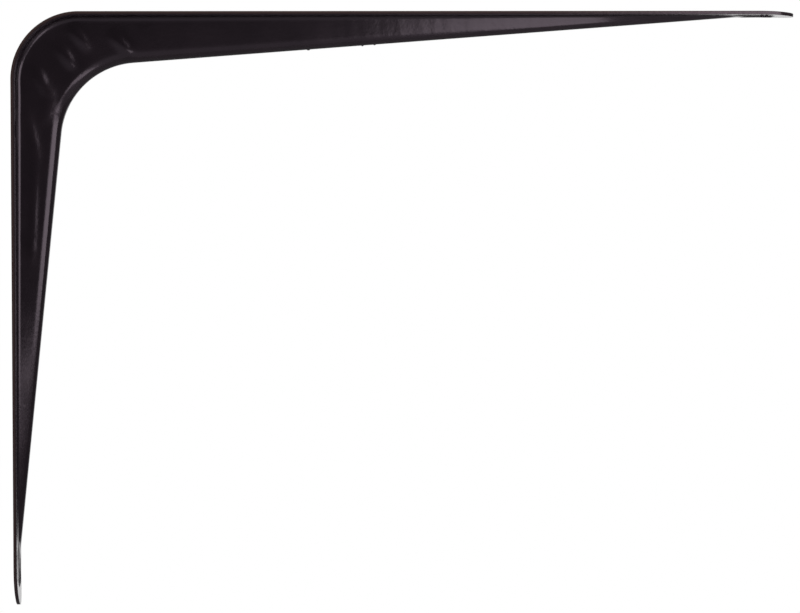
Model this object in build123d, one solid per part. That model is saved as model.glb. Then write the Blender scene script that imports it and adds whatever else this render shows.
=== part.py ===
"""A shelf bracket pressed from one piece of sheet steel.

The sheet is a flat flange bent into an L. A hollow rib is pressed out of it towards the inside of the L,
deepest round the corner and running out just before each tip. Sizes are in millimetres.

The L is drawn with its outer corner at zero: the wall plane is X = 0, the underside of the shelf is Z = 0,
and the bracket is the same on both sides of Y = 0. The shelf arm runs along +X and the wall arm along -Z.
At the end it is raised, so that zero lies on the wall plane midway between the upper wall screws.
"""

import os
from math import acos, asin, atan2, cos, hypot, pi, radians, sin, sqrt, tan

from build123d import *

# the sheet and its outline
SHELF_ARM = 200.0  # outer corner to shelf tip
WALL_ARM = 151.5  # outer corner to wall tip
SHEET = 0.9  # thickness of the steel
BEND_RADIUS = 17.3  # outside of the corner
CORNER_WIDTH = 28.0  # round the corner
TIP_WIDTH = 15.0  # across the round tip of each arm
CURL_LENGTH = 10.0  # the end of each arm that curls off its plane
CURL_RISE = 0.4  # how far the very tip lifts

# the rib
RIB_DEPTH = 13.8  # where the two crest lines would cross, from both outer faces
RUN_OUT = 9.8  # from each tip to where the crest meets the flange
CREST_SWEEP = 20.0  # radius of the crest line round the corner
NOSE_RADIUS = 3.4  # outside of the rounded crest, where the rib is deep
ROOT_RADIUS = 1.6  # inside of the bend between flange and rib
DRAFT = 8.0  # lean of the rib's walls in degrees, where the rib is deep
FADE_SHARE = 0.45  # the share of the nose and root that is left at the run-out
FADE_WALL = 0.6  # width that the rib's wall keeps at the run-out
SINK = 0.08  # the rib's feet go this far into the flange, so that the two join cleanly

# the screw holes
SCREW_HOLE = 4.4  # diameter
PAIR_SPACING = 19.2  # across the rib
PAIR_REACH = 30.0  # from the outer corner

# how finely the rib is laid out
ARM_STEPS = 9  # along each arm
TURN_STEPS = 10  # round the corner
CROWDING = 2.2  # power that crowds an arm's steps towards the corner
ENDED = 0.3  # share of the sink that is left where the rib stops, inside the sheet
HALVINGS = 60  # of the range in which the wall's steepness is sought

DEEP_ANGLE = radians(90.0 - DRAFT)
NOSE_SPAN = (NOSE_RADIUS - SHEET / 2) * sin(DEEP_ANGLE)
ROOT_SPAN = (ROOT_RADIUS + SHEET / 2) * sin(DEEP_ANGLE)


def point(x, z, y=0.0):
    """A point given by its place in the side view."""
    return Vector(x, y, z)


def crest_lines():
    """The straight crest lines: where they cross, and the way from there to each run-out."""
    crossing = point(RIB_DEPTH, -RIB_DEPTH)
    to_wall_tip = point(SHEET, RUN_OUT - WALL_ARM) - crossing
    to_shelf_tip = point(SHELF_ARM - RUN_OUT, -SHEET) - crossing
    return crossing, to_wall_tip, to_shelf_tip


def outer_face(start, way):
    """Follow a line from inside the L to its outer face: its length and the cosine of its slant there."""
    to_wall = -start.X / way.X if way.X < 0 else float("inf")
    to_shelf = -start.Z / way.Z if way.Z > 0 else float("inf")
    if way.X < 0 and start.Z + to_wall * way.Z <= -BEND_RADIUS:
        return to_wall, -way.X
    if way.Z > 0 and start.X + to_shelf * way.X >= BEND_RADIUS:
        return to_shelf, way.Z
    from_centre = start - point(BEND_RADIUS, -BEND_RADIUS)
    along = from_centre.dot(way)
    reach = sqrt(along**2 - from_centre.dot(from_centre) + BEND_RADIUS**2) - along
    return reach, (from_centre + way * reach).dot(way) / BEND_RADIUS


def stations():
    """Points along the crest from the wall tip round to the shelf tip, each with its way out of the L."""
    crossing, wall_line, shelf_line = crest_lines()
    wall_way, shelf_way = wall_line.normalized(), shelf_line.normalized()
    half_turn = acos(wall_way.dot(shelf_way)) / 2
    cut_back = CREST_SWEEP / tan(half_turn)
    centre = crossing + (wall_way + shelf_way).normalized() * (CREST_SWEEP / sin(half_turn))

    def arm(line, way):
        start = crossing + way * cut_back
        out = (start - centre).normalized()
        beyond = (1.0 - ENDED) * SINK * line.length / (RIB_DEPTH - SHEET)
        length = line.length - cut_back + beyond
        return [(start + way * (length * (i / ARM_STEPS) ** CROWDING), out) for i in range(ARM_STEPS + 1)]

    wall, shelf = arm(wall_line, wall_way), arm(shelf_line, shelf_way)
    first = atan2(wall[0][1].Z, wall[0][1].X) % (2 * pi)
    last = atan2(shelf[0][1].Z, shelf[0][1].X) % (2 * pi)
    turn = []
    for i in range(1, TURN_STEPS):
        angle = first + (last - first) * i / TURN_STEPS
        out = point(cos(angle), sin(angle))
        turn.append((centre + out * CREST_SWEEP, out))
    return wall[::-1] + turn + shelf


def rib_form(rise):
    """The steepness and length of the rib's wall and its two mid-sheet radii, for a rib of this rise."""
    deep_rise = RIB_DEPTH - SHEET
    deep_run = (deep_rise - (NOSE_SPAN + ROOT_SPAN) * tan(DEEP_ANGLE / 2)) / tan(DEEP_ANGLE)
    share = min(rise / deep_rise, 1.0)
    kept = FADE_SHARE + (1.0 - FADE_SHARE) * share
    spans = (NOSE_SPAN + ROOT_SPAN) * kept
    run = FADE_WALL + (deep_run - FADE_WALL) * share
    low, high = 0.0, DEEP_ANGLE
    for _ in range(HALVINGS):
        angle = (low + high) / 2
        if spans * tan(angle / 2) + run * tan(angle) < rise:
            low = angle
        else:
            high = angle
    wall = (rise - spans * tan(angle / 2)) / sin(angle)
    return angle, wall, NOSE_SPAN * kept / sin(angle), ROOT_SPAN * kept / sin(angle)


def rib_section(crest, out, rise, outset, drop):
    """A closed section: crest arc, leaning walls, root arcs, and a base that lies drop below their feet."""
    angle, wall, nose, root = rib_form(rise)
    nose, root = nose + outset, root - outset
    nose_end = (nose * sin(angle), nose * (1 - cos(angle)))
    wall_end = (nose_end[0] + wall * cos(angle), nose_end[1] + wall * sin(angle))
    swing = (wall_end[0] + root * sin(angle), wall_end[1] - root * cos(angle))
    root_mid = (swing[0] - root * sin(angle / 2), swing[1] + root * cos(angle / 2))
    foot = (swing[0], swing[1] + root)
    base = (foot[0], foot[1] + drop)

    def on(side, spot):
        return crest + out * spot[1] + point(0, 0, side * spot[0])

    loop = [
        ThreePointArc(on(-1, nose_end), crest, on(1, nose_end)),
        Line(on(1, nose_end), on(1, wall_end)),
        ThreePointArc(on(1, wall_end), on(1, root_mid), on(1, foot)),
        Line(on(1, foot), on(1, base)),
        Line(on(1, base), on(-1, base)),
        Line(on(-1, base), on(-1, foot)),
        ThreePointArc(on(-1, foot), on(-1, root_mid), on(-1, wall_end)),
        Line(on(-1, wall_end), on(-1, nose_end)),
    ]
    return Face(Wire(loop))


def rib_skin():
    """The rib as a filled body, bounded by the side that is seen."""
    sections = []
    for crest, out in stations():
        depth, slant = outer_face(crest, out)
        rise = depth - SHEET / slant + SINK
        sections.append(rib_section(crest, out, rise, SHEET / 2, SHEET / 2))
    return loft(sections)


def rib_hollow():
    """What is pressed in from behind: the same form, one sheet thickness further out."""
    sections = []
    for crest, out in stations():
        depth, _ = outer_face(crest, out)
        rise = depth - SHEET + SINK
        sections.append(rib_section(crest + out * SHEET, out, rise, -SHEET / 2, SHEET))
    return loft(sections)


def edge_line(inset):
    """The L in side view, this far inside its outer face, from the wall tip to the shelf tip."""
    curl_radius = (CURL_LENGTH**2 + CURL_RISE**2) / (2 * CURL_RISE)
    swing = asin(CURL_LENGTH / curl_radius)
    radius = curl_radius - inset
    bend = BEND_RADIUS - inset
    diagonal = BEND_RADIUS - bend / sqrt(2)

    def curl(share):
        return curl_radius - radius * cos(swing * share), radius * sin(swing * share)

    (tip_in, tip_on), (half_in, half_on) = curl(1.0), curl(0.5)
    wall_end, shelf_end = CURL_LENGTH - WALL_ARM, SHELF_ARM - CURL_LENGTH
    wall_curl = ThreePointArc(
        point(tip_in, wall_end - tip_on), point(half_in, wall_end - half_on), point(inset, wall_end)
    )
    wall_leg = Line(point(inset, wall_end), point(inset, -BEND_RADIUS))
    corner = ThreePointArc(
        point(inset, -BEND_RADIUS), point(diagonal, -diagonal), point(BEND_RADIUS, -inset)
    )
    shelf_leg = Line(point(BEND_RADIUS, -inset), point(shelf_end, -inset))
    shelf_curl = ThreePointArc(
        point(shelf_end, -inset), point(shelf_end + half_on, -half_in), point(shelf_end + tip_on, -tip_in)
    )
    return [wall_curl, wall_leg, corner, shelf_leg, shelf_curl]


def plan(length):
    """The outline of an arm seen square on: tapering from the bend to a round tip."""
    radius = TIP_WIDTH / 2
    middle = length - radius
    run, side = middle - BEND_RADIUS, CORNER_WIDTH / 2
    touch = atan2(side, -run) - acos(radius / hypot(run, side))
    touch_on, touch_side = middle + radius * cos(touch), radius * sin(touch)
    edges = Polyline(
        (touch_on, -touch_side), (BEND_RADIUS, -side), (BEND_RADIUS, side), (touch_on, touch_side)
    ).edges()
    tip = ThreePointArc((touch_on, touch_side), (length, 0), (touch_on, -touch_side))
    return Face(Wire(edges + [tip]))


def flange():
    """The bent flat sheet before the rib is pressed, cut to its outline."""
    outer, inner = edge_line(0.0), edge_line(SHEET)
    ends = [Line(outer[0] @ 0, inner[0] @ 0), Line(outer[-1] @ 1, inner[-1] @ 1)]
    profile = Face(Wire(outer + inner + ends))
    strip = extrude(profile, CORNER_WIDTH / 2 + SHEET, dir=(0, 1, 0), both=True)
    reach = BEND_RADIUS + SHEET
    block = Box(reach, CORNER_WIDTH, reach, align=(Align.MIN, Align.CENTER, Align.MAX))
    corner = Pos(-SHEET, 0, SHEET) * block
    shelf = extrude(plan(SHELF_ARM), BEND_RADIUS, both=True)
    wall = Rot(0, 90, 0) * extrude(plan(WALL_ARM), BEND_RADIUS, both=True)
    return strip & (corner + shelf + wall)


def screw_holes():
    """Two holes beside the rib near the corner and one in the round tip, in each arm."""
    through = 4 * (SHEET + CURL_RISE)  # long enough where the tip curls too
    drill = Cylinder(SCREW_HOLE / 2, through)
    pair = [(PAIR_REACH, PAIR_SPACING / 2), (PAIR_REACH, -PAIR_SPACING / 2)]
    shelf_spots = pair + [(SHELF_ARM - TIP_WIDTH / 2, 0)]
    wall_spots = pair + [(WALL_ARM - TIP_WIDTH / 2, 0)]
    shelf = [Pos(reach, side, 0) * drill for reach, side in shelf_spots]
    wall = [Pos(0, side, -reach) * Rot(0, 90, 0) * drill for reach, side in wall_spots]
    return shelf + wall


def bracket():
    """The flange with the rib pressed into it and the holes punched."""
    return flange() + rib_skin() - rib_hollow() - screw_holes()


os.makedirs("parts", exist_ok=True)
export_step(Pos(0, 0, PAIR_REACH) * bracket(), "parts/shelf_bracket.step")
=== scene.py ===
# %% [markdown]
# A shelf bracket is pressed from one flat piece of sheet steel and dipped in black enamel. It could be put
# together from boxes with bevels, but then rib, bends and sheared edge would each be a piece of their own.
# This lesson makes it as the press does, from one sheet: a middle surface of two parameters, one along the
# crest of the rib and one across the sheet, which then gets the thickness of the steel. The frame that is
# loaded first holds the measured model of the bracket, and everything below stays inside its box.

# %% the frame
from math import pi, radians, sin, tan

import bpy
import numpy as np
from mathutils import Matrix, Quaternion, Vector


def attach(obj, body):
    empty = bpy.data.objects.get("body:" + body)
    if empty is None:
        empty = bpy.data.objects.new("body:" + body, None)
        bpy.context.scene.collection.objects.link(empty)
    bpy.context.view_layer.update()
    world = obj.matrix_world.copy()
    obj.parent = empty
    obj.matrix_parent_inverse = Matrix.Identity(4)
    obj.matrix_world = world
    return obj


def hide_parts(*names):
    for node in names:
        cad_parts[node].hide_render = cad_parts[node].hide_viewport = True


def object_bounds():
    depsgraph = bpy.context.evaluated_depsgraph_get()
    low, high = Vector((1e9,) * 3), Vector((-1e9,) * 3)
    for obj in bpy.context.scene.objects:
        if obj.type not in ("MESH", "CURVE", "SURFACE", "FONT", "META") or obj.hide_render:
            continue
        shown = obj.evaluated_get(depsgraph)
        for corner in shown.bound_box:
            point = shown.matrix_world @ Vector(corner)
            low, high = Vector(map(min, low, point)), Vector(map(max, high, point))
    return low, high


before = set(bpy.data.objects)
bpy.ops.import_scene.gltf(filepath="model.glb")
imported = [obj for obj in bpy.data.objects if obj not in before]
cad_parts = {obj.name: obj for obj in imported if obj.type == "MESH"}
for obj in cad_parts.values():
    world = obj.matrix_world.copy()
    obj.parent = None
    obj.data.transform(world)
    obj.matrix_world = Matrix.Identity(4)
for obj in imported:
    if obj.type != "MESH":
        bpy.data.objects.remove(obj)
cad_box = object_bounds()
print("frame box in metres:", [tuple(round(v, 4) for v in corner) for corner in cad_box])

# %% [markdown]
# A few lengths set the size of the whole bracket. All of them could be typed in, but the two arms and the
# width at the corner are read from the frame's own box, so the sheet can't stray from the model that it
# stands for. The rest are sizes of the pressing, in metres. Places in the side view are counted from the
# outer corner of the L: the first number to the right along the shelf, the second one upwards.

# %% driving sizes
(LOW_X, LOW_Y, LOW_Z), (HIGH_X, HIGH_Y, HIGH_Z) = cad_box
SHELF_ARM = HIGH_X - LOW_X
WALL_ARM = HIGH_Z - LOW_Z
CORNER_WIDTH = HIGH_Y - LOW_Y
SHEET = 0.0009  # thickness of the steel
BEND_RADIUS = 0.0173  # outside of the corner
TIP_RADIUS = 0.0075  # of the round end of each arm
MM = 0.001  # a millimetre, for what is placed or printed in millimetres
print("arms", round(SHELF_ARM, 4), round(WALL_ARM, 4), "width", round(CORNER_WIDTH, 4))

# %% [markdown]
# The crest of the rib is the line that the eye follows from tip to tip: two straight runs, and an arc round
# the corner. A Bezier curve could draw it, but its bend would only come close to a circle. Here both runs
# are aimed at the places where the rib dies away, and the arc is fitted so that it touches the two of them.

# %% the crest lines
RIB_DEPTH = 0.0138  # where the two crest lines would cross
RUN_OUT = 0.0098  # from each tip to the end of the rib
CREST_SWEEP = 0.020  # radius of the crest round the corner


def unit(v):
    """A direction of length one: a vector over its own length."""
    return v / np.linalg.norm(v)


crossing = np.array([RIB_DEPTH, -RIB_DEPTH])
wall_way = unit(np.array([SHEET, RUN_OUT - WALL_ARM]) - crossing)
shelf_way = unit(np.array([SHELF_ARM - RUN_OUT, -SHEET]) - crossing)
half_turn = np.arccos(wall_way @ shelf_way) / 2
cut_back = CREST_SWEEP / tan(half_turn)
centre = crossing + unit(wall_way + shelf_way) * CREST_SWEEP / sin(half_turn)
wall_out = unit(crossing + wall_way * cut_back - centre)
shelf_out = unit(crossing + shelf_way * cut_back - centre)
print("crest lines meet at", round(np.degrees(2 * half_turn), 1), "degrees")


# %% [markdown]
# The sheet is drawn in rows, one for each station on the crest. Even steps would be the simplest, but the
# tips are round and carry a hole, so the rows crowd together there, as the points of a circle do when it is
# seen edge on. Each station has a point, and a way out of the L that is square to the crest.

# %% stations on the crest
WALL_ROWS = 140
SHELF_ROWS = 200
TURN_ROWS = 90
TIP_ROWS = 26
HOLE_ROWS = 24
HOLE_STRETCH = 0.0055  # fine rows start this far before the middle of the tip circle, ahead of the hole
TIP_TURN = 0.11  # the last row stops this far round from the tip, in radians


def arm_places(start, end, rows):
    """Distances along an arm: even, then fine, then the end less the tip radius times one minus a cosine."""
    angle = np.linspace(pi / 2, TIP_TURN, TIP_ROWS)
    round_tip = end - TIP_RADIUS * (1.0 - np.cos(angle))
    fine = np.linspace(round_tip[0] - HOLE_STRETCH, round_tip[0], HOLE_ROWS, endpoint=False)
    return np.concatenate([np.linspace(start, fine[0], rows, endpoint=False), fine, round_tip])


wall_end = (np.array([SHEET / 2, -WALL_ARM]) - crossing) @ wall_way
shelf_end = (np.array([SHELF_ARM, -SHEET / 2]) - crossing) @ shelf_way
on_wall_line = arm_places(cut_back, wall_end, WALL_ROWS)[::-1]
on_shelf_line = arm_places(cut_back, shelf_end, SHELF_ROWS)
first, last = (np.arctan2(out[1], out[0]) % (2 * pi) for out in (wall_out, shelf_out))
turn = np.linspace(first, last, TURN_ROWS)[1:-1]
turn_out = np.stack([np.cos(turn), np.sin(turn)], axis=1)
outs = np.concatenate([
    np.tile(wall_out, (len(on_wall_line), 1)),
    turn_out,
    np.tile(shelf_out, (len(on_shelf_line), 1)),
])
crest = np.concatenate([
    crossing + np.outer(on_wall_line, wall_way),
    centre + CREST_SWEEP * turn_out,
    crossing + np.outer(on_shelf_line, shelf_way),
])
print("stations", len(crest))


# %% [markdown]
# The flange is the flat L that lies against wall and shelf. From each station its middle is found straight
# outwards: on the wall line, on the shelf line, or on the bend between them. Rays cast at a mesh could find
# it, but two lines and a circle give it exactly, and for all stations at once. What lies between crest and
# flange, less half the sheet, is the rise of the rib. Past the end of the rib it would turn negative, so it
# is rounded off to nothing.

# %% the flange under the crest
FADE_SOFTNESS = 0.00012  # over which the rib's height dies away


def flange_distance(points, outs, inset):
    """Distance along each way out to the L's profile: two lines, and a circle where both lines are near."""
    with np.errstate(divide="ignore", invalid="ignore"):
        to_wall = np.where(outs[:, 0] < 0, (inset - points[:, 0]) / outs[:, 0], np.inf)
        to_shelf = np.where(outs[:, 1] > 0, (-inset - points[:, 1]) / outs[:, 1], np.inf)
    straight = np.minimum(to_wall, to_shelf)
    hit = points + straight[:, None] * outs
    away = points - np.array([BEND_RADIUS, -BEND_RADIUS])
    along = (away * outs).sum(axis=1)
    under_root = along**2 - (away**2).sum(axis=1) + (BEND_RADIUS - inset) ** 2
    curved = np.sqrt(np.maximum(under_root, 0.0)) - along
    return np.where((hit[:, 0] < BEND_RADIUS) & (hit[:, 1] > -BEND_RADIUS), curved, straight)


reach = flange_distance(crest, outs, SHEET / 2)
flange = crest + reach[:, None] * outs
sharp_rise = reach - SHEET / 2
rise = (sharp_rise + np.hypot(sharp_rise, FADE_SOFTNESS)) / 2
on_shelf = flange[:, 0] > -flange[:, 1]
arm_length = np.where(on_shelf, SHELF_ARM, WALL_ARM)
arm_place = np.where(on_shelf, flange[:, 0], -flange[:, 1])
print("rib rises", round(rise.max() / MM, 2), "mm at most")


# %% [markdown]
# Cut across, the rib is a nose arc, a straight wall, a root arc and then the flat flange, because a press
# can't fold steel to a sharp corner. A Bevel modifier on a folded strip could round it, but not with radii
# that fade along the arm. Here one angle sets the whole section, and halving finds the angle at which the
# section is as high as the rib is at that station.

# %% the form of a section
NOSE_RADIUS = 0.0034  # outside of the rounded crest
ROOT_RADIUS = 0.0016  # inside of the bend between flange and rib
DEEP_ANGLE = radians(82.0)  # steepness of the rib's walls where it is deep
FADE_SHARE = 0.45  # the share of nose and root that is left at the run-out
FADE_WALL = 0.0006  # width that the wall keeps there
NOSE_SPAN = (NOSE_RADIUS - SHEET / 2) * sin(DEEP_ANGLE)
ROOT_SPAN = (ROOT_RADIUS + SHEET / 2) * sin(DEEP_ANGLE)
HALVINGS = 60


def section_form(rise):
    """Wall angle, wall length and the two middle radii, so that the arcs and the wall add up to the rise.

    The arcs rise by their spans times the tangent of half the angle, the wall by its run times the tangent.
    """
    deep_rise = RIB_DEPTH - SHEET
    deep_run = (deep_rise - (NOSE_SPAN + ROOT_SPAN) * tan(DEEP_ANGLE / 2)) / tan(DEEP_ANGLE)
    share = np.minimum(rise / deep_rise, 1.0)
    kept = FADE_SHARE + (1.0 - FADE_SHARE) * share
    spans = (NOSE_SPAN + ROOT_SPAN) * kept
    run = FADE_WALL + (deep_run - FADE_WALL) * share
    low = np.zeros_like(rise)
    high = np.full_like(rise, DEEP_ANGLE)
    for _ in range(HALVINGS):
        angle = (low + high) / 2
        short = spans * np.tan(angle / 2) + run * np.tan(angle) < rise
        low = np.where(short, angle, low)
        high = np.where(short, high, angle)
    wall = (rise - spans * np.tan(angle / 2)) / np.sin(angle)
    return angle, wall, NOSE_SPAN * kept / np.sin(angle), ROOT_SPAN * kept / np.sin(angle)


print("steepest wall", round(np.degrees(section_form(rise)[0].max()), 1), "degrees")


# %% [markdown]
# The press makes both sides of the rib alike, so half a section is enough to draw. A Mirror modifier could
# add the other half, but it would leave a seam on the crest, where the light shows every fault. So the half
# is turned over as numbers further down, and the two halves share the points of the crest.

# %% half a section
NOSE_COLUMNS = 8
WALL_COLUMNS = 12
ROOT_COLUMNS = 7


def half_section(rise):
    """Across and down from the crest: the nose arc, the wall and the root arc, one row for each station.

    An arc goes across by its radius times a sine, and down by its radius times one minus a cosine.
    """
    angle, wall, nose, root = (form[:, None] for form in section_form(rise))
    on_nose = angle * np.linspace(0, 1, NOSE_COLUMNS, endpoint=False)
    on_wall = wall * np.linspace(0, 1, WALL_COLUMNS, endpoint=False)
    on_root = angle * np.linspace(1, 0, ROOT_COLUMNS, endpoint=False)
    wall_across = nose * np.sin(angle)
    wall_drop = nose * (1 - np.cos(angle))
    root_across = wall_across + wall * np.cos(angle)
    root_drop = wall_drop + wall * np.sin(angle)
    across = np.hstack([
        nose * np.sin(on_nose),
        wall_across + on_wall * np.cos(angle),
        root_across + root * (np.sin(angle) - np.sin(on_root)),
    ])
    drop = np.hstack([
        nose * (1 - np.cos(on_nose)),
        wall_drop + on_wall * np.sin(angle),
        root_drop + root * (np.cos(on_root) - np.cos(angle)),
    ])
    return across, drop, root_across + root * np.sin(angle)


rib_across, rib_drop, foot = half_section(rise)
print("rib is", round(2 * foot.max() / MM, 1), "mm wide at its foot")


# %% [markdown]
# The flange carries on from the rib's foot to the outline of the arm, a straight taper that touches the
# circle of the tip. It could be cut from a wider sheet with a Boolean, but then nothing would know how far a
# point lies from the edge, and the edge gets soft corners later. So each row simply ends at the outline. At
# the very tip the rib has no height left, and its points are squeezed to stay inside.

# %% the flange and its outline
FOOT_SHARE = 0.75  # the rib's foot takes up at most this share of the half width
RIM_SHARE = 0.1  # and the rim this one, where the tip is narrow
OUTER_EDGE_ROUND = 0.00022  # outer corner of the sheared edge under the paint
FLANGE_COLUMNS = 6
RIM_COLUMNS = 6


def outline(place, length):
    """Half width at a place along an arm, the middle of the tip circle, and where the taper touches it.

    Past that place the half width is the root of the radius squared less the distance squared.
    """
    tip_middle = length - TIP_RADIUS
    start = BEND_RADIUS - tip_middle
    swing = np.arctan2(CORNER_WIDTH / 2, start) - np.arccos(TIP_RADIUS / np.hypot(start, CORNER_WIDTH / 2))
    touch = tip_middle + TIP_RADIUS * np.cos(swing)
    share = np.clip((place - BEND_RADIUS) / (touch - BEND_RADIUS), 0.0, 1.0)
    taper = CORNER_WIDTH / 2 + share * (TIP_RADIUS * np.sin(swing) - CORNER_WIDTH / 2)
    rounded = np.sqrt(np.maximum(TIP_RADIUS**2 - (place - tip_middle) ** 2, 0.0))
    return np.where(place < touch, taper, rounded), tip_middle, touch


half_width, tip_middle, touch = (part[:, None] for part in outline(arm_place, arm_length))
squeeze = np.minimum(1.0, FOOT_SHARE * half_width / foot)
rim = half_width - np.minimum(OUTER_EDGE_ROUND, RIM_SHARE * half_width)
on_flange = np.linspace(0, 1, FLANGE_COLUMNS, endpoint=False)
on_rim = np.sin(np.linspace(0, pi / 2, RIM_COLUMNS))
half_across = np.hstack([
    rib_across * squeeze,
    foot * squeeze + (rim - foot * squeeze) * on_flange,
    rim + (half_width - rim) * on_rim,
])
half_drop = np.hstack([rib_drop, np.repeat(rise[:, None], FLANGE_COLUMNS + RIM_COLUMNS, axis=1)])
across = np.hstack([-half_across[:, :0:-1], half_across])
height = rise[:, None] - np.hstack([half_drop[:, :0:-1], half_drop])
print("columns across the sheet", across.shape[1])


# %% [markdown]
# The end of each arm curls up a little, off the wall or the shelf, as the press leaves it. A Simple Deform
# modifier could bend it, but it is plainer to add the square of the distance to the places in the side view.
# With the distance across, the middle surface then stands in space, and its own slopes give its normals.

# %% the middle surface in space
CURL_LENGTH = 0.010  # the end of each arm that curls off its plane
CURL_RISE = 0.0004


def surface_normals(points):
    """Cross product of the differences along the two parameters, made one long; it points into the L."""
    normal = np.cross(np.gradient(points, axis=1), np.gradient(points, axis=0))
    return normal / np.linalg.norm(normal, axis=2, keepdims=True)


curled = np.clip((arm_place - arm_length + CURL_LENGTH) / CURL_LENGTH, 0.0, 1.0)
inward = np.where(on_shelf[:, None], [[0.0, -1.0]], [[1.0, 0.0]])
base = flange + CURL_RISE * curled[:, None] ** 2 * inward
side = base[:, None, :] - height[:, :, None] * outs[:, None, :]
smooth_middle = np.stack([LOW_X + side[:, :, 0], across, HIGH_Z + side[:, :, 1]], axis=2)
smooth_normal = surface_normals(smooth_middle)
print("middle surface of", smooth_middle.shape[0], "by", smooth_middle.shape[1], "points")


# %% [markdown]
# Deep drawing leaves soft folds in the rib's walls, most of them round the corner, where the sheet is
# squeezed, and a faint ripple along the shelf arm. A bump in the material could fake them, but seen edge on
# the sheet would stay smooth, so they are real shapes. Each fold is a bell curve of the distance to a short
# line in the side view, and the ripple is a sum of sines. Both move the whole sheet.

# %% folds from the press
FOLD_LIFT = 0.00040
FOLDS = (  # start and end in millimetres right of and below the corner, width in metres, share of the lift
    ((5.2, 12.2), (8.8, 21.8), 0.0015, 1.30),
    ((11.2, 7.2), (15.6, 14.4), 0.0015, 1.25),
    ((24.6, 4.6), (30.6, 10.9), 0.0014, 1.40),
    ((14.4, 3.0), (19.8, 9.4), 0.0014, 1.15),
    ((3.2, 24.0), (6.4, 39.6), 0.0013, 0.74),
    ((5.6, 35.0), (4.4, 66.0), 0.0010, 0.50),
    ((1.6, 56.6), (5.8, 60.4), 0.0008, 0.20),
    ((8.0, 28.5), (10.2, 17.0), 0.0014, 0.80),
)
RIPPLE_LIFT = 0.000005
RIPPLE_STRETCH = (0.045, 0.130)  # along the shelf arm
RIPPLE_WAVES = (0.0031, 0.0043, 0.0067, 0.0101)
PHASE_PER_LENGTH = 9e3  # radians for each metre of a wave, so that no two waves start alike


def fold(start, end, width, strength):
    """A soft ridge along a line between two places.

    Its height is a bell curve of the distance to the line, times a sine that is nothing at both its ends.
    """
    start, end = np.array([start, end]) * [MM, -MM]
    way = end - start
    share = np.clip(((side - start) @ way) / (way @ way), 0.0, 1.0)
    distance = np.linalg.norm(side - start - share[..., None] * way, axis=-1)
    return strength * FOLD_LIFT * np.sin(pi * share) * np.exp(-((distance / width) ** 2))


def ripple(place, near, far):
    """Uneven waves across an arm: a sum of sines, times a bell curve that is highest midway."""
    waves = sum(np.sin(2 * pi * place / wave + wave * PHASE_PER_LENGTH) for wave in RIPPLE_WAVES)
    return waves * np.exp(-(((place - (near + far) / 2) / (far - near) * 2) ** 2))


folds = sum(fold(*line) for line in FOLDS)
waves = np.where(on_shelf, ripple(arm_place, *RIPPLE_STRETCH), 0.0)
faces_sideways = smooth_normal[:, :, 1] ** 2
pushed = (folds + RIPPLE_LIFT * waves[:, None]) * faces_sideways
middle = smooth_middle + pushed[:, :, None] * smooth_normal
normal = surface_normals(middle)
print("highest fold", round(folds.max() / MM, 2), "mm")


# %% [markdown]
# The steel is equally thick all over, so the sheet is the middle surface moved half a thickness to each
# side. A Solidify modifier does the same, but it can't soften the sheared edge on the way. Here the half
# thickness shrinks along a quarter circle close to the outline. Enamel has gathered in a low bead round the
# rim of each tip hole, on the inner side, and the bead runs back on both sides of the rib's end. It is
# added to the skin only.

# %% the two faces of the sheet
INNER_EDGE_ROUND = 0.00004
HOLE_RADIUS = 0.0022
BEAD_HEIGHT = 0.00030
BEAD_WIDTH = 0.00060
BEAD_RUN = 0.0100  # from the hole's middle to where the bead has died away
BEAD_GROWTH = 0.5  # the share of that run over which it grows to its full height


def edge_distance(place, lateral, half_width, tip_middle, touch):
    """Distance to the outline: to the taper across the arm, or to the tip circle past the point of touch."""
    to_circle = TIP_RADIUS - np.hypot(place - tip_middle, lateral)
    return np.where(place < touch, half_width - np.abs(lateral), to_circle)


def half_thickness(edge, rounding):
    """Half the sheet, less what a quarter circle takes off within its own radius of the edge."""
    inside = np.clip(1.0 - edge / rounding, 0.0, 1.0)
    return SHEET / 2 - rounding * (1.0 - np.sqrt(1.0 - inside**2))


edge = edge_distance(arm_place[:, None], across, half_width, tip_middle, touch)
past_hole = arm_place[:, None] - tip_middle
from_rim = np.hypot(np.maximum(past_hole, 0.0), across) - HOLE_RADIUS
grown = np.clip((1.0 + past_hole / BEAD_RUN) / BEAD_GROWTH, 0.0, 1.0)
bead = BEAD_HEIGHT * grown**2 * (3.0 - 2.0 * grown) * np.exp(-((from_rim / BEAD_WIDTH) ** 2))
skin = middle + (half_thickness(edge, INNER_EDGE_ROUND) + bead)[:, :, None] * normal
back = middle - half_thickness(edge, OUTER_EDGE_ROUND)[:, :, None] * normal
print("bead is", round(bead.max() / MM, 2), "mm high at most")


# %% [markdown]
# Skin and back belong to one piece of steel, so they become one closed mesh. Two meshes could be bridged
# with Blender's own tools, but here the order of the points is known: each row is a loop along the skin and
# back again, the loops make a tube, and a strip of faces closes each tip. The volume inside is measured as
# a test, because it would be negative if the faces pointed inwards.

# %% the sheet as a closed mesh
ring = np.concatenate([skin, back[:, ::-1]], axis=1)
rows, loop, _ = ring.shape
index = np.arange(rows * loop).reshape(rows, loop)
beside = np.roll(index, -1, axis=1)
tube = np.stack([index[:-1], beside[:-1], beside[1:], index[1:]], axis=2).reshape(-1, 4)


def cap(row):
    """A strip of faces that closes a tip, from the skin's points to the back's points opposite."""
    top = row[: loop // 2]
    under = row[loop // 2 :][::-1]
    return np.stack([top[:-1], top[1:], under[1:], under[:-1]], axis=1)


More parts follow.
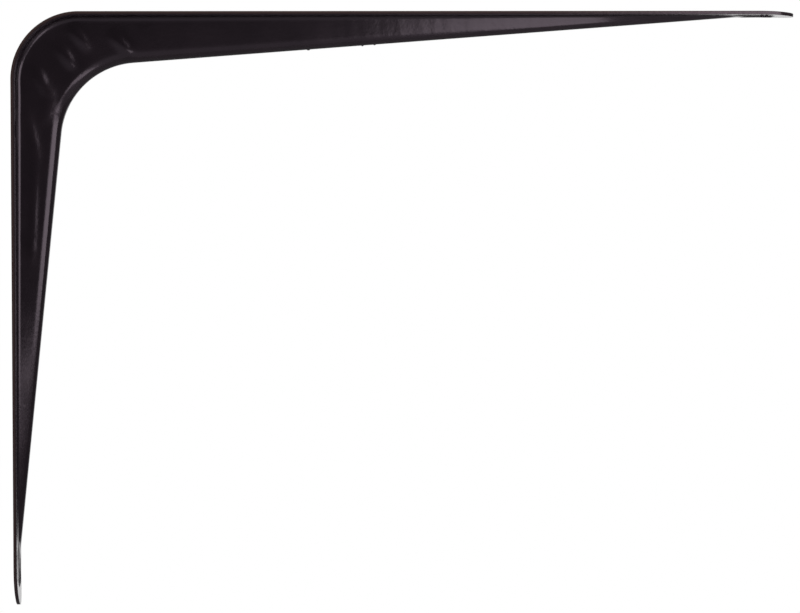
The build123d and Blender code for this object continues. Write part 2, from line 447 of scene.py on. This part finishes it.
def mesh_object(name, points, *face_groups):
    """An object at the origin, from an array of points and arrays of faces with as many corners each."""
    mesh = bpy.data.meshes.new(name)
    mesh.from_pydata(points.tolist(), [], [face for group in face_groups for face in group.tolist()])
    thing = bpy.data.objects.new(name, mesh)
    bpy.context.scene.collection.objects.link(thing)
    return thing


def enclosed(points, faces):
    """Volume inside closed four-cornered faces: a sixth of the sum of their corners' triple products."""
    a, b, c, d = (points[faces[:, k]] for k in range(4))
    return ((np.cross(b, c) + np.cross(c, d)) * a).sum() / 6


sheet_points = ring.reshape(-1, 3)
sheet_faces = np.concatenate([tube, cap(index[0])[:, ::-1], cap(index[-1])])
sheet = mesh_object("bracket_sheet", sheet_points, sheet_faces)
volume = enclosed(sheet_points, sheet_faces) / MM**3
print("sheet volume", round(volume), "cubic mm, faces", len(sheet_faces))


# %% [markdown]
# The screw holes are punched through the flange: a pair beside the rib and one at the tip, in both arms.
# The rows of the sheet could be led round them, but that would bend all the rows nearby. A punch is closer
# to the real way. It is a short cylinder, a circle moved along the hole's axis, and a Boolean modifier
# takes it away. The result becomes the sheet's own mesh.

# %% the punches
PUNCH_SIDES = 48
PUNCH_REACH = 0.0025
PAIR_SPACING = 0.0192
PAIR_REACH = 0.030  # from the corner to the pair of holes
X_AXIS, Z_AXIS = 0, 2
ARMS = ((X_AXIS, (0, 0, -1), WALL_ARM), (Z_AXIS, (1, 0, 0), SHELF_ARM))  # holes' axis, way along, length


def punch(name, at, axis):
    """A closed cylinder: a circle moved to both sides along an axis, with a wall between and two ends."""
    turn = np.linspace(0, 2 * pi, PUNCH_SIDES, endpoint=False)
    first, second = np.eye(3)[(axis + 1) % 3], np.eye(3)[(axis + 2) % 3]
    circle = at + HOLE_RADIUS * (np.outer(np.cos(turn), first) + np.outer(np.sin(turn), second))
    reach = PUNCH_REACH * np.eye(3)[axis]
    here = np.arange(PUNCH_SIDES)
    after = np.roll(here, -1)
    walls = np.stack([here, after, after + PUNCH_SIDES, here + PUNCH_SIDES], axis=1)
    ends = np.stack([here[::-1], here + PUNCH_SIDES])
    return mesh_object(name, np.concatenate([circle - reach, circle + reach]), walls, ends)


corner = np.array([LOW_X, 0.0, HIGH_Z])
hole_spots = []
for axis, way, length in ARMS:
    for along, lateral in ((PAIR_REACH, -1), (PAIR_REACH, 1), (length - TIP_RADIUS, 0)):
        hole_spots.append((corner + along * np.array(way) + [0, lateral * PAIR_SPACING / 2, 0], axis))
punches = [punch(f"punch_{i}", at, axis) for i, (at, axis) in enumerate(hole_spots)]
print("punches", len(punches))

# %% the screw holes
SHARP_FROM = radians(40)  # edges that turn by more than this stay crisp
for tool in punches:
    cut = sheet.modifiers.new(tool.name, "BOOLEAN")
    cut.operation = "DIFFERENCE"
    cut.solver = "EXACT"
    cut.object = tool
punched = bpy.data.meshes.new_from_object(sheet.evaluated_get(bpy.context.evaluated_depsgraph_get()))
sheet.modifiers.clear()
sheet.data = punched
for tool in punches:
    bpy.data.objects.remove(tool)
sheet.data.shade_smooth()
sheet.data.set_sharp_from_angle(angle=SHARP_FROM)
print("punched sheet has", len(sheet.data.polygons), "faces")


# %% [markdown]
# Drops of enamel have dried along the crest of the shelf arm and on the bead at its tip, as happens to a
# part that is hung up to drip. Metaballs could melt them into the sheet, but at this size that wouldn't
# show. So each nib is a small squashed ball, half sunk into the sheet, and all of them are one piece.

# %% nibs of paint
CREST_NIBS = [(0.0755, 0.00030, 1.5), (0.0894, 0.00028, 1.2), (0.0925, 0.00026, 1.3)]
BEAD_NIBS = [(0.1918, 0.00022, 1.6), (0.1930, 0.00022, 1.6)]  # all: place along the arm, radius, stretch
NIB_SINK = 0.00010  # how far a nib's middle is sunk into the crest
BEAD_SIDE = -0.0024  # the near side of the bead, across the arm
BALL_TURNS = 16
BALL_BANDS = 9
POLE_GAP = 0.03  # the first and the last band are this far from the poles, in radians


def unit_ball():
    """A ball of two angles, down and around: the sine of down times cosine and sine of around, and a cosine.

    With its points come the four-cornered faces between its bands and the two ends, one face each.
    """
    around = np.linspace(0, 2 * pi, BALL_TURNS, endpoint=False)
    down = np.linspace(POLE_GAP, pi - POLE_GAP, BALL_BANDS)
    x = np.outer(np.sin(down), np.cos(around))
    y = np.outer(np.sin(down), np.sin(around))
    z = np.outer(np.cos(down), np.ones(BALL_TURNS))
    index = np.arange(BALL_BANDS * BALL_TURNS).reshape(BALL_BANDS, BALL_TURNS)
    beside = np.roll(index, -1, axis=1)
    walls = np.stack([index[:-1], index[1:], beside[1:], beside[:-1]], axis=2).reshape(-1, 4)
    return np.stack([x, y, z], axis=2).reshape(-1, 3), walls, np.stack([index[0], index[-1][::-1]])


nib_place, radius, stretch = np.array(CREST_NIBS + BEAD_NIBS).T
on_bead = np.arange(len(nib_place)) >= len(CREST_NIBS)
crest_z = HIGH_Z + NIB_SINK + np.interp(nib_place, crest[on_shelf, 0], crest[on_shelf, 1])
bead_z = HIGH_Z - SHEET - BEAD_HEIGHT
nib_y = np.where(on_bead, BEAD_SIDE, 0.0)
nib_z = np.where(on_bead, bead_z, crest_z)
nib_middle = np.stack([nib_place, nib_y, nib_z], axis=1)
along_x = np.stack([stretch, np.ones_like(stretch), np.ones_like(stretch)], axis=1)
ball, walls, ends = unit_ball()
nib_points = nib_middle[:, None] + radius[:, None, None] * (along_x[:, None] * ball)
offset = len(ball) * np.arange(len(nib_place))[:, None, None]
nib_walls = (walls + offset).reshape(-1, 4)
nib_ends = (ends + offset).reshape(-1, BALL_TURNS)
paint_nibs = mesh_object("paint_nibs", nib_points.reshape(-1, 3), nib_walls, nib_ends)
paint_nibs.data.shade_smooth()
print("nibs", len(nib_place))

# %% [markdown]
# Dip enamel is nearly black. Here the outer corner of the sheared edge is given a brown cast in its colour.
# That could be painted on by hand, but it would have to be done again after each change of shape. So a mesh
# attribute says how much brown each point gets, worked out from the point's place alone: near the
# outline, and near the outer face. Along the shelf arm the brown fades towards the bead at the tip.

# %% where the edge is brown
BROWN_ACROSS = 0.00025  # how far in from the outline
BROWN_DEEP = 0.00045  # how far down from the outer face
FADED_AT_TIP = 0.8  # the share of the brown that is gone at the shelf arm's tip
places = np.empty(len(sheet.data.vertices) * 3)
sheet.data.vertices.foreach_get("co", places)
places = places.reshape(-1, 3) - corner
at_shelf = places[:, 0] > -places[:, 2]
place = np.where(at_shelf, places[:, 0], -places[:, 2])
flat_depth = np.where(at_shelf, -places[:, 2], places[:, 0])
from_bend = np.hypot(places[:, 0] - BEND_RADIUS, places[:, 2] + BEND_RADIUS)
depth = np.where(place < BEND_RADIUS, BEND_RADIUS - from_bend, flat_depth)
outline_there = outline(place, np.where(at_shelf, SHELF_ARM, WALL_ARM))
near = np.maximum(edge_distance(place, places[:, 1], *outline_there), 0.0)
# how much brown each point gets: most along the outer corner of the sheared edge
brown_share = np.exp(-((near / BROWN_ACROSS) ** 2)) * np.exp(-((np.maximum(depth, 0.0) / BROWN_DEEP) ** 2))
brown_share *= np.where(at_shelf, 1.0 - FADED_AT_TIP * (place / SHELF_ARM) ** 2, 1.0)
attribute = sheet.data.attributes.new("brown_edge", "FLOAT", "POINT")
attribute.data.foreach_set("value", brown_share.astype(np.float32))
print("points with thin paint", int((brown_share > 0.5).sum()))


# %% [markdown]
# The enamel is black, but not evenly so: some patches are a shade lighter. One flat colour would look like
# plastic, and a picture would have to be unwrapped onto the sheet. A noise in object coordinates needs
# neither: it picks a shade between two dark ones, and the attribute then blends in the brown of the edge.

# %% the colour of the enamel
GLAZE = 1.55  # the coat's index of refraction
GLINT = (1.0, 0.82, 0.96, 1)  # tint of the reflections
DARK_ENAMEL = (0.0090, 0.0058, 0.0080, 1)
LIGHT_ENAMEL = (0.0150, 0.0098, 0.0130, 1)
# brown given to the outer corner of the sheared edge
EDGE_BROWN = (0.108, 0.066, 0.058, 1)


def node(tree, kind, **inputs):
    """A shader node with some of its inputs set."""
    made = tree.nodes.new(kind)
    for name, value in inputs.items():
        made.inputs[name].default_value = value
    return made


enamel = bpy.data.materials.new("black_enamel")
enamel.use_nodes = True
tree = enamel.node_tree
shader = tree.nodes["Principled BSDF"]
shader.inputs["IOR"].default_value = GLAZE
shader.inputs["Specular Tint"].default_value = GLINT
where = tree.nodes.new("ShaderNodeTexCoord")
patches = node(tree, "ShaderNodeTexNoise", Scale=90.0, Detail=4.0, Roughness=0.55)
tree.links.new(where.outputs["Object"], patches.inputs["Vector"])
tint = tree.nodes.new("ShaderNodeValToRGB")
for element, position, colour in zip(tint.color_ramp.elements, (0.3, 0.7), (DARK_ENAMEL, LIGHT_ENAMEL)):
    element.position = position
    element.color = colour
tree.links.new(patches.outputs["Fac"], tint.inputs["Fac"])
brown_edge = tree.nodes.new("ShaderNodeAttribute")
brown_edge.attribute_name = "brown_edge"
blend = tree.nodes.new("ShaderNodeMix")
blend.data_type = "RGBA"
blend.inputs["B"].default_value = EDGE_BROWN
tree.links.new(brown_edge.outputs["Fac"], blend.inputs["Factor"])
tree.links.new(tint.outputs["Color"], blend.inputs["A"])
tree.links.new(blend.outputs["Result"], shader.inputs["Base Color"])
print("colour runs from", DARK_ENAMEL[:3], "to", LIGHT_ENAMEL[:3])

# %% [markdown]
# A dipped coat is glossy, but a little duller in some patches, and it has the fine waves that painters call
# orange peel. Waves as fine as that would need millions of faces, so a fine noise drives a bump instead,
# and the noise of the colour sets the roughness too. Sheet and nibs share the one coat.

# %% the gloss of the enamel
gloss = node(tree, "ShaderNodeMapRange", **{"To Min": 0.12, "To Max": 0.22})
tree.links.new(patches.outputs["Fac"], gloss.inputs["Value"])
tree.links.new(gloss.outputs["Result"], shader.inputs["Roughness"])
grain = node(tree, "ShaderNodeTexNoise", Scale=900.0, Detail=2.0)
tree.links.new(where.outputs["Object"], grain.inputs["Vector"])
peel = node(tree, "ShaderNodeBump", Strength=0.3, Distance=0.00006)
tree.links.new(grain.outputs["Fac"], peel.inputs["Height"])
tree.links.new(peel.outputs["Normal"], shader.inputs["Normal"])
for piece in (sheet, paint_nibs):
    piece.data.materials.append(enamel)
    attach(piece, "root")
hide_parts("shelf_bracket")
print("enamel of", len(tree.nodes), "nodes")


# %% [markdown]
# A board behind the bracket makes the white background. A strong lamp could burn it to white, but it would
# wash out the enamel too. So the board's paint asks which ray has met it: to the camera and in reflections
# it is plain white, and to all other rays it is pale. Its own back is see-through, so that the bracket can
# be looked at from behind.

# %% paint for the stage
PALE = (0.78, 0.78, 0.78, 1)
MATT = 0.9


def pale_paint(name):
    """A matt pale material."""
    paint = bpy.data.materials.new(name)
    paint.use_nodes = True
    shader = paint.node_tree.nodes["Principled BSDF"]
    shader.inputs["Base Color"].default_value = PALE
    shader.inputs["Roughness"].default_value = MATT
    return paint


white = pale_paint("backdrop_white")
tree = white.node_tree
rays = tree.nodes.new("ShaderNodeLightPath")
glow = node(tree, "ShaderNodeEmission", Color=(1, 1, 1, 1), Strength=1.0)
camera_or_glossy = tree.nodes.new("ShaderNodeMath")
camera_or_glossy.operation = "MAXIMUM"
any_seen = tree.nodes.new("ShaderNodeMath")
any_seen.operation = "MAXIMUM"
choose = tree.nodes.new("ShaderNodeMixShader")
sides = tree.nodes.new("ShaderNodeNewGeometry")
see_through = tree.nodes.new("ShaderNodeBsdfTransparent")
one_sided = tree.nodes.new("ShaderNodeMixShader")
tree.links.new(rays.outputs["Is Camera Ray"], camera_or_glossy.inputs[0])
tree.links.new(rays.outputs["Is Glossy Ray"], camera_or_glossy.inputs[1])
tree.links.new(camera_or_glossy.outputs["Value"], any_seen.inputs[0])
tree.links.new(rays.outputs["Is Transmission Ray"], any_seen.inputs[1])
tree.links.new(any_seen.outputs["Value"], choose.inputs["Fac"])
tree.links.new(tree.nodes["Principled BSDF"].outputs["BSDF"], choose.inputs[1])
tree.links.new(glow.outputs["Emission"], choose.inputs[2])
tree.links.new(sides.outputs["Backfacing"], one_sided.inputs["Fac"])
tree.links.new(choose.outputs["Shader"], one_sided.inputs[1])
tree.links.new(see_through.outputs["BSDF"], one_sided.inputs[2])
tree.links.new(one_sided.outputs["Shader"], tree.nodes["Material Output"].inputs["Surface"])
print("white paint of", len(tree.nodes), "nodes")


# %% [markdown]
# The bracket hangs over a pale floor, which ends a little in front of it like the edge of a table, and in
# front of the board. One curved sweep could be both, but two flat faces can be moved by themselves: how near
# the floor's edge comes decides how much of it the rib reflects.

# %% floor and board
FLOOR_DROP = 0.04  # from the lower tip down to the floor
FLOOR_Z = LOW_Z - FLOOR_DROP
FLOOR_LEFT, FLOOR_RIGHT, FLOOR_FRONT = -0.5, 0.75, -0.07
BOARD_LEFT, BOARD_RIGHT, BOARD_TOP = -0.2, 0.4, 0.25
BOARD_Y = 0.55


def flat(name, corners, paint):
    """One flat face from its four corners."""
    thing = mesh_object(name, np.array(corners), np.array([[0, 1, 2, 3]]))
    thing.data.materials.append(paint)
    return thing


floor_corners = [
    (FLOOR_LEFT, FLOOR_FRONT, FLOOR_Z),
    (FLOOR_RIGHT, FLOOR_FRONT, FLOOR_Z),
    (FLOOR_RIGHT, BOARD_Y, FLOOR_Z),
    (FLOOR_LEFT, BOARD_Y, FLOOR_Z),
]
board_corners = [
    (BOARD_LEFT, BOARD_Y, FLOOR_Z),
    (BOARD_RIGHT, BOARD_Y, FLOOR_Z),
    (BOARD_RIGHT, BOARD_Y, BOARD_TOP),
    (BOARD_LEFT, BOARD_Y, BOARD_TOP),
]
floor = flat("floor", floor_corners, pale_paint("floor_pale"))
backdrop = flat("backdrop", board_corners, white)
print("floor at", round(FLOOR_Z, 4), "and board", BOARD_Y, "behind")

# %% [markdown]
# Black enamel shows little but reflections, so the room is part of its look. An even grey would be simpler,
# but the rib's wall, which faces the camera, would then be as bright as the bends. So the room is dim, and
# brighter below than at eye level: the wall stays dark, and the bends draw bright lines round it.

# %% the room
ROOM_COLOUR = (1.0, 1.0, 1.03, 1)
BELOW, LEVEL = -0.55, -0.2  # height of a direction one long, where the change ends and where it starts
GLOW_BELOW, GLOW_LEVEL = 0.36, 0.095
scene = bpy.context.scene
world = bpy.data.worlds.new("room")
scene.world = world
world.use_nodes = True
tree = world.node_tree
background = tree.nodes["Background"]
background.inputs["Color"].default_value = ROOM_COLOUR
direction = tree.nodes.new("ShaderNodeTexCoord")
slope = tree.nodes.new("ShaderNodeSeparateXYZ")
steps = {"From Min": BELOW, "From Max": LEVEL, "To Min": GLOW_BELOW, "To Max": GLOW_LEVEL}
room = node(tree, "ShaderNodeMapRange", **steps)
tree.links.new(direction.outputs["Generated"], slope.inputs["Vector"])
tree.links.new(slope.outputs["Z"], room.inputs["Value"])
tree.links.new(room.outputs["Result"], background.inputs["Strength"])
print("room strength", GLOW_BELOW, "below and", GLOW_LEVEL, "at eye level")


# %% [markdown]
# The lamps are three soft panels close to the bracket. Spot lamps would leave hard dots on glossy enamel,
# while a panel draws a long bright line along each bend. A broad one is on the right, and a dim narrow one
# beside its front edge softens the start of its reflections. A strip lies low in front of the shelf arm and
# is rolled, so that it lights the arm's outer half only.

# %% three panels
def panel(name, at, aim, wide, high, roll, brightness):
    """A soft rectangular lamp at a place, which faces another and is rolled by some degrees.

    Its power is its brightness times pi times its area, so a larger panel isn't a dimmer one.
    """
    lamp = bpy.data.lights.new(name, "AREA")
    lamp.shape = "RECTANGLE"
    lamp.size = wide
    lamp.size_y = high
    lamp.energy = brightness * pi * wide * high
    thing = bpy.data.objects.new(name, lamp)
    thing.location = at
    facing = (Vector(aim) - Vector(at)).to_track_quat("-Z", "Y")
    thing.rotation_euler = (facing @ Quaternion((0, 0, 1), radians(roll))).to_euler()
    scene.collection.objects.link(thing)
    print(name, "of", round(lamp.energy, 3), "watts")


panel(
    "right_panel",
    at=(0.285, -0.182, 0.088),
    aim=(0.01, 0.0, 0.088),
    wide=0.247,
    high=0.35,
    roll=0,
    brightness=2.4,
)
panel(
    "front_panel",
    at=(0.205, -0.303, 0.088),
    aim=(-0.070, -0.121, 0.088),
    wide=0.044,
    high=0.35,
    roll=0,
    brightness=1.0,
)
panel(
    "low_panel",
    at=(0.171, -0.2355, -0.166),
    aim=(0.171, -0.0095, 0.031),
    wide=0.07,
    high=0.207,
    roll=14,
    brightness=1.9,
)

# %% [markdown]
# The camera stands where the photograph was taken from: level, square to the side of the bracket and far
# off, with a long lens. An orthographic camera would come close, but it would lose the flange's near edge,
# which stands a little off the far one. The camera leans by about a seventh of a degree, as the photograph
# does.

# %% camera
CAMERA_AT = (0.09886, -1.340, -0.04527)
LEAN = radians(-0.15)
lens = bpy.data.cameras.new("camera")
lens.sensor_width = 36.0
lens.lens = 234.9
camera = bpy.data.objects.new("camera", lens)
level = Matrix.Rotation(pi / 2, 4, "X")
camera.matrix_world = Matrix.Translation(CAMERA_AT) @ level @ Matrix.Rotation(LEAN, 4, "Z")
scene.collection.objects.link(camera)
scene.camera = camera
scene.view_settings.view_transform = "Standard"
print("camera at", CAMERA_AT, "with a lens of", round(lens.lens, 1), "mm")
